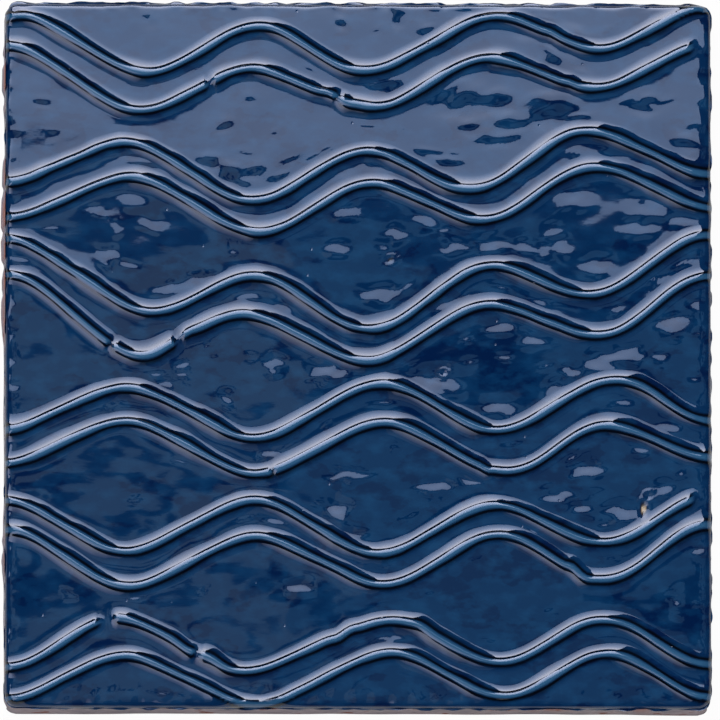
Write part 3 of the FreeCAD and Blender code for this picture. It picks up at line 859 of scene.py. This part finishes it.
@dataclass
class Tile:
    """The whole tile: glazed face, ragged lip of the glaze, bare sides and flat back."""

    slab: Slab = field(default_factory=Slab)
    grid: FaceGrid = field(default_factory=FaceGrid)
    lip_height: float = 8.9
    lip_play: float = 0.45
    bare_lip_height: float = 10.3
    lip_roll: float = 0.3
    shoulder_rise: float = 0.2
    shoulder_share: float = 0.7
    step_drop: float = 0.15
    step_in: float = 0.1
    step_foot: float = 0.6
    glazed_bands: int = 4
    side_levels: Span = (6.0, 3.0)
    bare_by_ring: tuple[float, ...] = (1.0, 1.0, 1.0, 1.0, 1.0, 0.7, 0.2, 0.0, 0.0)
    edge_play: float = 0.22
    side_wobble: float = 0.14
    blend_points: int = 9
    lip_waves: Ripples = Ripples(seed=21, shortest=2.5, longest=18.0, slope_degrees=9.0, count=40)
    lumps: Ripples = Ripples(seed=22, shortest=5.0, longest=30.0, slope_degrees=1.2, count=30)
    lump_fade: Span = (1.0, 4.0)
    crumble: Ripples = Ripples(seed=23, shortest=1.6, longest=9.0, slope_degrees=22.0, count=30)
    crumble_fade: Span = (-0.5, 0.1)
    rags: Ripples = Ripples(seed=24, shortest=1.5, longest=7.0, slope_degrees=12.0, count=40)
    centre_samples: int = 1201
    sharp_angle: float = 50.0

    def __post_init__(self) -> None:
        """Lays out the grid and works out the relief on it."""
        self.across = self.grid.across(self.slab)
        even = np.linspace(-self.slab.half, self.slab.half, self.centre_samples)
        centres = [np.interp(self.across, even, bead.centre(even)) for bead in BEADS]
        slopes = [np.gradient(centre, self.across) for centre in centres]
        steepness = [np.sqrt(1.0 + slope * slope) for slope in slopes]
        self.up = self.grid.up(self.slab, centres, steepness)
        self.relief = Relief(self.slab)
        self.relief.shape(self.across, self.up, centres)

    def perimeter(self) -> list[int]:
        """Walks round the face's outermost vertices, from the lower left corner.

        Returns:
            The vertices' numbers.
        """
        columns, rows = self.up.shape
        lower = [i * rows for i in range(columns - 1)]
        right = [(columns - 1) * rows + j for j in range(rows - 1)]
        upper = [i * rows + rows - 1 for i in range(columns - 1, 0, -1)]
        return lower + right + upper + list(range(rows - 1, 0, -1))

    def build(self, glaze: bpy.types.Material, clay: bpy.types.Material) -> bpy.types.Object:
        """Makes the tile's mesh and dresses it.

        Args:
            glaze: The material of the glazed face.
            clay: The material of the bare sides and back.

        Returns:
            The tile, as one closed mesh.
        """
        columns, rows = self.up.shape
        places = np.broadcast_to(self.across[:, None], self.up.shape)
        x, y = self.slab.round_corners(places, self.up)
        face = np.stack([x, y, self.relief.height], axis=-1).reshape(-1, 3)
        rim = self.perimeter()
        rings, bare = self.side_rings(face[rim], places.reshape(-1)[rim], self.up.reshape(-1)[rim])
        vertices = np.concatenate([face, *rings]) * MM
        first = np.arange(columns * rows).reshape(columns, rows)
        corners = [first[:-1, :-1], first[1:, :-1], first[1:, 1:], first[:-1, 1:]]
        faces = np.stack([c.reshape(-1) for c in corners], axis=1).tolist()
        face_count = len(faces)
        loops = [np.array(rim)]
        loops += [len(face) + k * len(rim) + np.arange(len(rim)) for k in range(len(rings))]
        for upper, lower in zip(loops, loops[1:]):
            faces += np.stack([upper, lower, np.roll(lower, -1), np.roll(upper, -1)], axis=1).tolist()
        faces.append(loops[-1][::-1].tolist())
        mesh = bpy.data.meshes.new("handmade_tile")
        mesh.from_pydata(vertices.tolist(), [], faces)
        mesh.materials.append(glaze)
        mesh.materials.append(clay)
        clay_from = face_count + self.glazed_bands * len(rim)
        mesh.polygons.foreach_set("material_index", [int(i >= clay_from) for i in range(len(faces))])
        mesh.polygons.foreach_set("use_smooth", [True] * len(faces))
        mesh.set_sharp_from_angle(angle=math.radians(self.sharp_angle))
        on_sides = np.zeros(len(rings) * len(rim))
        masks = {name: [mask.reshape(-1), on_sides] for name, mask in self.relief.masks.items()}
        masks["bare"] = [np.zeros(len(face)), *(share * bare for share in self.bare_by_ring)]
        for name, parts in masks.items():
            layer = mesh.attributes.new(name, "FLOAT", "POINT")
            layer.data.foreach_set("value", np.concatenate(parts).astype(np.float32))
        mesh.update()
        return add_object("handmade_tile", mesh)

    def side_rings(self, rim: Array, across: Array, up: Array) -> tuple[list[Array], Array]:
        """The rings of vertices down the sides, from the arris to the back.

        Args:
            rim: The face's outermost vertices.
            across: Their places from side to side, before the corners were rounded.
            up: Their places up the tile, before the corners were rounded.

        Returns:
            The rings from the top down, and how far the glaze has fallen off at each vertex of the rim.
        """
        core = self.slab.half - self.slab.corner_round
        out = rim[:, :2] - np.clip(rim[:, :2], -core, core)
        out /= np.linalg.norm(out, axis=1, keepdims=True)
        spread_share, bulge, bare = np.zeros(len(rim)), np.zeros(len(rim)), np.zeros(len(rim))
        for edge, gap in self.slab.insets(across, up).items():
            finish = EDGES[edge]
            here = gap < ON_EDGE
            spread_share[here] = finish.clay_share
            bulge[here] = finish.bulge
            along = edge.along(across, up)
            for start, end in finish.bare:
                bare[here & (along > start) & (along < end)] = 1.0
        bare = self.blended(bare) * ease(self.crumble.height(across, up), *self.crumble_fade)
        lip = self.lip_height + np.clip(self.lip_waves.height(across, up), -self.lip_play, self.lip_play)
        lip = lip + bare * (self.bare_lip_height - lip)
        wobble = self.side_wobble
        lump = np.clip(self.lumps.height(across, up), -wobble, wobble) - wobble
        rag = np.clip(self.rags.height(across, up), -self.edge_play, self.edge_play)
        share = self.blended(spread_share)
        share = share + (1.0 - share) * bare
        bulge = (self.blended(bulge) + rag) * (1.0 - bare)

        def ring(height: Array, offset: Array) -> Array:
            """A ring of vertices at those heights, moved out from the rim."""
            return np.column_stack([rim[:, :2] + out * offset[:, None], height])

        def clay(height: Array) -> Array:
            """How far the bare clay stands out from the rim at those heights."""
            spread = self.slab.side_draft * share * (1.0 - height / self.slab.body_depth)
            return spread + lump * ease(self.slab.body_depth - height, *self.lump_fade)

        shoulder = (rim[:, 2] + lip) / 2 + self.shoulder_rise
        rings = [
            ring(shoulder, self.shoulder_share * bulge),
            ring(lip + self.lip_roll, bulge),
            ring(lip, bulge),
            ring(lip - self.step_drop, clay(lip) - self.step_in),
            ring(lip - self.step_foot, clay(lip - self.step_foot)),
        ]
        for level in (*self.side_levels, self.slab.back_ease):
            heights = np.full(len(rim), level)
            rings.append(ring(heights, clay(heights)))
        back = np.zeros(len(rim))
        rings.append(ring(back, clay(back) - self.slab.back_ease))
        return rings, bare

    def blended(self, values: Array) -> Array:
        """Smooths values given round the rim, so that one edge runs into the next."""
        reach = self.blend_points
        return smooth(np.concatenate([values[-reach:], values, values[:reach]]), reach)


@dataclass(frozen=True)
class Spots:
    """Spots of a second colour in a finish: a noise of that size, read between two of its values."""

    size: float
    detail: float
    roughness: float
    low: float
    high: float

    def share(self, tree: Tree, place: Socket, unit: float = 1.0) -> Socket:
        """How far the second colour shows.

        Args:
            tree: The material's node tree.
            place: The socket that the places come out of.
            unit: What the size is counted in, in the unit of the places.

        Returns:
            The socket that the share comes out of, from 0 to 1.
        """
        scale = 1 / (self.size * unit)
        inputs = {"Vector": place, "Scale": scale, "Detail": self.detail, "Roughness": self.roughness}
        noise = add_node(tree, "TexNoise", inputs).outputs["Fac"]
        inputs = {"Value": noise, "From Min": self.low, "From Max": self.high}
        return add_node(tree, "MapRange", inputs).outputs["Result"]


@dataclass(frozen=True)
class CobaltGlaze:
    """Glossy cobalt glaze, poured over the tile and fused in the kiln.

    It is a glass, so it mirrors what is above it. Where it ran thin, on the crowns of the beads, the
    pale clay shows through and it looks teal. Along the flanks and feet of the beads it is painted nearly
    black, partly for glaze that pooled there and partly as painted shade.
    """

    deep: str = "#031E49"
    body: str = "#062C57"
    teal: str = "#0F3C68"
    crown: str = "#2E5C85"
    # Near-black of the bead flanks: painted shade, partly pooled glaze.
    pool_and_shade_black: str = "#02040A"
    burnt: str = "#2A2019"
    chipped: str = "#D0BCA4"
    roughness: float = 0.03
    ior: float = 1.52
    drawn_out: float = 0.6
    clouds: Spots = Spots(7.0, 4.0, 0.55, 0.445, 0.475)
    mottle: Spots = Spots(2.6, 3.0, 0.5, 0.45, 0.75)
    ripple_size: float = 1.5
    ripple_height: float = 0.0015
    pinhole_spacing: float = 7.0
    pinhole_size: float = 0.3
    pinhole_depth: float = 0.1

    def material(self) -> bpy.types.Material:
        """Makes the glaze's node material.

        Returns:
            The material.
        """
        made, tree = new_material("cobalt_glazed_earthenware")
        place = add_node(tree, "TexCoord").outputs["Object"]
        scale = (self.drawn_out / MM, 1.0 / MM, 1.0 / MM)
        drawn = add_node(tree, "Mapping", {"Vector": place, "Scale": scale}).outputs["Vector"]
        base = mix_colours(tree, self.clouds.share(tree, drawn), linear(self.deep), linear(self.body))
        base = mix_colours(tree, self.mottle.share(tree, drawn), base, linear(self.teal))
        # The pool_and_shade mask paints the bead flanks near-black as painted shade over pooled glaze; the
        # other masks are the glaze's and clay's own colours.
        layers = {"pool_and_shade": self.pool_and_shade_black, "crown": self.crown, "burnt": self.burnt, "chipped": self.chipped}
        for mask, colour in layers.items():
            shown = add_node(tree, "Attribute", attribute_name=mask)
            base = mix_colours(tree, shown.outputs["Fac"], base, linear(colour))
        inputs = {"Vector": drawn, "Scale": 1 / self.ripple_size, "Detail": 2.0, "Roughness": 0.5}
        ripples = add_node(tree, "TexNoise", inputs).outputs["Fac"]
        rippled = add_node(tree, "Bump", {"Height": ripples, "Distance": self.ripple_height * MM})
        inputs = {"Vector": place, "Scale": 1 / (self.pinhole_spacing * MM)}
        holes = add_node(tree, "TexVoronoi", inputs).outputs["Distance"]
        inputs = {"Value": holes, "From Max": self.pinhole_size / self.pinhole_spacing}
        hole = add_node(tree, "MapRange", inputs).outputs["Result"]
        inputs = {"Height": hole, "Distance": self.pinhole_depth * MM, "Normal": rippled.outputs["Normal"]}
        bump = add_node(tree, "Bump", inputs).outputs["Normal"]
        inputs = {"Base Color": base, "Roughness": self.roughness, "IOR": self.ior, "Normal": bump}
        shader = add_node(tree, "BsdfPrincipled", inputs)
        add_node(tree, "OutputMaterial", {"Surface": shader.outputs["BSDF"]})
        return made


@dataclass(frozen=True)
class BisqueClay:
    """Bare fired clay, cut by hand and never glazed.

    It is dull and chalky, pinkish grey with smears where iron in the clay burnt red-brown.
    """

    pale: str = "#A39498"
    grey: str = "#857C83"
    iron: str = "#7D4430"
    red: str = "#9C5A44"
    roughness: float = 0.85
    pale_smears: Spots = Spots(7.0, 5.0, 0.6, 0.35, 0.6)
    iron_smears: Spots = Spots(7.0, 5.0, 0.6, 0.6, 0.66)
    red_smears: Spots = Spots(7.0, 5.0, 0.6, 0.42, 0.5)
    grit_size: float = 0.35
    grit_height: float = 0.05

    def material(self) -> bpy.types.Material:
        """Makes the clay's node material.

        Returns:
            The material.
        """
        made, tree = new_material("bisque_clay")
        place = add_node(tree, "TexCoord").outputs["Object"]
        pale = self.pale_smears.share(tree, place, MM)
        base = mix_colours(tree, pale, linear(self.grey), linear(self.pale))
        base = mix_colours(tree, self.iron_smears.share(tree, place, MM), base, linear(self.iron))
        bare = add_node(tree, "Attribute", attribute_name="bare").outputs["Fac"]
        both = {0: bare, 1: self.red_smears.share(tree, place, MM)}
        reddened = add_node(tree, "Math", both, operation="MULTIPLY")
        base = mix_colours(tree, reddened.outputs["Value"], base, linear(self.red))
        inputs = {"Vector": place, "Scale": 1 / (self.grit_size * MM), "Detail": 3.0, "Roughness": 0.7}
        grit = add_node(tree, "TexNoise", inputs).outputs["Fac"]
        bump = add_node(tree, "Bump", {"Height": grit, "Distance": self.grit_height * MM})
        inputs = {"Base Color": base, "Roughness": self.roughness, "Normal": bump.outputs["Normal"]}
        shader = add_node(tree, "BsdfPrincipled", inputs)
        add_node(tree, "OutputMaterial", {"Surface": shader.outputs["BSDF"]})
        return made


@dataclass(frozen=True)
class Card:
    """A glowing card that the glaze mirrors: its corners in metres, and its glow from first to last edge.

    The first edge joins the first two corners, and the last edge the other two. A card with a patch size
    glows in patches of that many metres, as a room's ceiling does.
    """

    name: str
    corners: tuple[Place, ...]
    colours: tuple[str, str]
    glows: Span
    full_at: float = 0.5
    patch_size: float = 0.0
    patch_stretch: float = 4.0
    patch_level: float = 0.46
    patch_edge: float = 0.01

    @classmethod
    def ceiling(
        cls, name: str, half: tuple[Span, str], ends: Span, glows: Span, **settings: float
    ) -> "Card":
        """Makes a level stretch of the ceiling over the tile.

        Args:
            name: The card's name.
            half: The half of the ceiling that it is in.
            ends: Where it starts and ends, down from the upper edge, in metres.
            glows: Its glow at its start and at its end.
            settings: The card's other fields, such as what its patches are like.

        Returns:
            The card.
        """
        (left, right), colour = half
        outline = ((left, ends[0]), (right, ends[0]), (right, ends[1]), (left, ends[1]))
        corners = tuple((across, up, CEILING_HEIGHT) for across, up in outline)
        return cls(name, corners, (colour, colour), glows, **settings)

    def patchy(self, tree: Tree, strength: Socket) -> Socket:
        """Breaks a glow up into patches.

        Args:
            tree: The card's node tree.
            strength: The socket that the even glow comes out of.

        Returns:
            The socket that the patchy glow comes out of.
        """
        place = add_node(tree, "TexCoord").outputs["Object"]
        scale = 1 / self.patch_size
        inputs = {"Vector": place, "Scale": (scale / self.patch_stretch, scale, 1.0)}
        drawn = add_node(tree, "Mapping", inputs).outputs["Vector"]
        patches = Spots(1.0, 0.0, 0.5, self.patch_level, self.patch_level + self.patch_edge)
        both = {0: strength, 1: patches.share(tree, drawn)}
        return add_node(tree, "Math", both, operation="MULTIPLY").outputs["Value"]

    def build(self) -> bpy.types.Object:
        """Makes the card, seen only in what mirrors it.

        Returns:
            The card.
        """
        made, tree = new_material(f"{self.name}_glow")
        along = add_node(tree, "UVMap", uv_map="along").outputs["UV"]
        split = add_node(tree, "SeparateXYZ", {"Vector": along})
        reach = {"Value": split.outputs["Y"], "From Max": self.full_at}
        limits = {"To Min": self.glows[0], "To Max": self.glows[1]}
        strength = add_node(tree, "MapRange", reach | limits).outputs["Result"]
        turned = add_node(tree, "MapRange", reach).outputs["Result"]
        colour = mix_colours(tree, turned, *(linear(colour) for colour in self.colours))
        if self.patch_size:
            strength = self.patchy(tree, strength)
        light = add_node(tree, "Emission", {"Color": colour, "Strength": strength})
        add_node(tree, "OutputMaterial", {"Surface": light.outputs["Emission"]})
        card = add_quad(self.name, self.corners, made)
        layer = card.data.uv_layers.new(name="along")
        for i, place in enumerate(((0, 0), (1, 0), (1, 1), (0, 1))):
            layer.data[i].uv = place
        card.visible_camera = False
        card.visible_diffuse = False
        card.visible_shadow = False
        return card


@dataclass(frozen=True)
class Lamp:
    """A soft lamp over the tile, which lights it evenly and isn't mirrored in the glaze."""

    name: str
    place: Place
    size: float
    watts: float

    def build(self) -> bpy.types.Object:
        """Makes the lamp, aimed at the middle of the tile.

        Returns:
            The lamp.
        """
        data = bpy.data.lights.new(self.name, "AREA")
        data.shape = "DISK"
        data.size = self.size
        data.energy = self.watts
        lamp = add_object(self.name, data)
        lamp.location = self.place
        lamp.rotation_euler = (-Vector(self.place)).to_track_quat("-Z", "Y").to_euler()
        lamp.visible_glossy = False
        lamp.visible_camera = False
        return lamp


# The halves of the ceiling: where each starts and ends from side to side, in metres, and its colour.
LEFT_HALF = ((-0.30, 0.015), "#B7E2FF")
RIGHT_HALF = ((0.015, 1.0), "#8BCDFF")


@dataclass(frozen=True)
class Studio:
    """The plain pale floor, the soft lamps and the cards that the glaze mirrors."""

    floor_colour: str = "#F2F2F1"
    floor_white: float = 0.965
    floor_roughness: float = 0.9
    floor_specular: float = 0.1
    floor_half: float = 4.0
    floor_drop: float = 0.0001
    ambient: str = "#FFFFFF"
    ambient_glow: float = 0.02
    lamps: tuple[Lamp, ...] = (
        Lamp("key", (-0.5, 0.9, 1.9), 1.2, 29.0),
        Lamp("fill", (0.6, -1.0, 1.6), 1.6, 16.0),
    )
    cards: tuple[Card, ...] = (
        Card(
            "upper_softbox",
            ((-1.0, 0.130, 1.0), (0.18, 0.131, 1.0), (0.18, 1.1, 0.37), (-1.0, 1.1, 0.37)),
            ("#C0D8FF", "#DCE2FA"),
            (3.35, 12.5),
            full_at=0.75,
        ),
        Card(
            "lower_left_panel",
            ((-0.10, -0.10, 1.0), (-0.10, -1.0, 1.0), (-0.95, -1.0, 0.4), (-0.95, -0.10, 0.4)),
            ("#CFDDFF", "#D6DFFF"),
            (0.9, 4.0),
            full_at=0.4,
        ),
        Card.ceiling("ceiling_left_upper", LEFT_HALF, (0.114, 0.08), (0.9, 0.87)),
        Card.ceiling(
            "ceiling_left_middle",
            LEFT_HALF,
            (0.08, 0.012),
            (0.87, 0.78),
            patch_size=0.017,
            patch_stretch=1.6,
            patch_level=0.485,
        ),
        Card.ceiling("ceiling_left_lower", LEFT_HALF, (0.012, -1.0), (0.78, 0.4)),
        Card.ceiling(
            "ceiling_right_upper", RIGHT_HALF, (0.114, -0.01), (0.75, 0.58), full_at=1.0, patch_size=0.036
        ),
        Card.ceiling("ceiling_right_lower", RIGHT_HALF, (-0.01, -1.0), (0.58, 0.2)),
    )

    def build(self) -> None:
        """Lays the floor, hangs the lamps and cards, and sets the light of the room."""
        made, tree = new_material("matt_white_paper")
        inputs = {
            "Base Color": linear(self.floor_colour),
            "Roughness": self.floor_roughness,
            "Specular IOR Level": self.floor_specular,
        }
        paper = add_node(tree, "BsdfPrincipled", inputs).outputs["BSDF"]
        white = add_node(tree, "Emission", {"Color": linear("#FFFFFF")}).outputs["Emission"]
        rays = add_node(tree, "LightPath").outputs["Is Camera Ray"]
        lit = add_node(tree, "Math", {0: rays, 1: self.floor_white}, operation="MULTIPLY").outputs["Value"]
        surface = add_node(tree, "MixShader", {0: lit, 1: paper, 2: white})
        add_node(tree, "OutputMaterial", {"Surface": surface.outputs["Shader"]})
        half, low = self.floor_half, -self.floor_drop
        corners = ((-half, -half, low), (half, -half, low), (half, half, low), (-half, half, low))
        add_quad("floor", corners, made)
        for piece in (*self.lamps, *self.cards):
            piece.build()
        world = bpy.data.worlds.new("studio")
        world.use_nodes = True
        background = world.node_tree.nodes["Background"]
        background.inputs["Color"].default_value = linear(self.ambient)
        background.inputs["Strength"].default_value = self.ambient_glow
        bpy.context.scene.world = world


@dataclass(frozen=True)
class PhotoCamera:
    """A long lens almost straight above the tile, tipped a little to show its lower and left sides."""

    distance: float = 5.0
    sees_to: float = 20.0
    width_in_view: float = 152.9
    aim: Place = (0.37, -0.96, 11.0)
    lean_down: float = 5.0
    lean_left: float = 1.8
    sensor: float = 36.0

    def build(self) -> bpy.types.Object:
        """Makes the camera and gives it to the scene.

        Returns:
            The camera.
        """
        data = bpy.data.cameras.new("photo_camera")
        data.sensor_width = self.sensor
        data.lens = self.sensor * self.distance / (self.width_in_view * MM)
        data.clip_end = self.sees_to
        camera = add_object("photo_camera", data)
        back = Vector((-math.sin(math.radians(self.lean_left)), -math.sin(math.radians(self.lean_down)), 0.0))
        back.z = math.sqrt(1.0 - back.length_squared)
        right = Vector((0.0, 1.0, 0.0)).cross(back).normalized()
        turn = Matrix((right, back.cross(right), back)).transposed()
        camera.matrix_world = Matrix.Translation(Vector(self.aim) * MM + back * self.distance) @ turn.to_4x4()
        bpy.context.scene.camera = camera
        return camera


def main() -> None:
    """Builds the tile, dresses it and sets it in the studio."""
    bpy.context.scene.view_settings.view_transform = "Standard"
    tile = Tile().build(CobaltGlaze().material(), BisqueClay().material())
    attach(tile, "root")
    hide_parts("tile")
    log.info("tile: %d vertices, %d faces", len(tile.data.vertices), len(tile.data.polygons))
    Studio().build()
    log.info("studio: floor, lamps and cards")
    PhotoCamera().build()
    log.info("camera: in place")


if __name__ == "__main__":
    logging.basicConfig(level=logging.INFO, format="%(name)s: %(message)s")
    main()
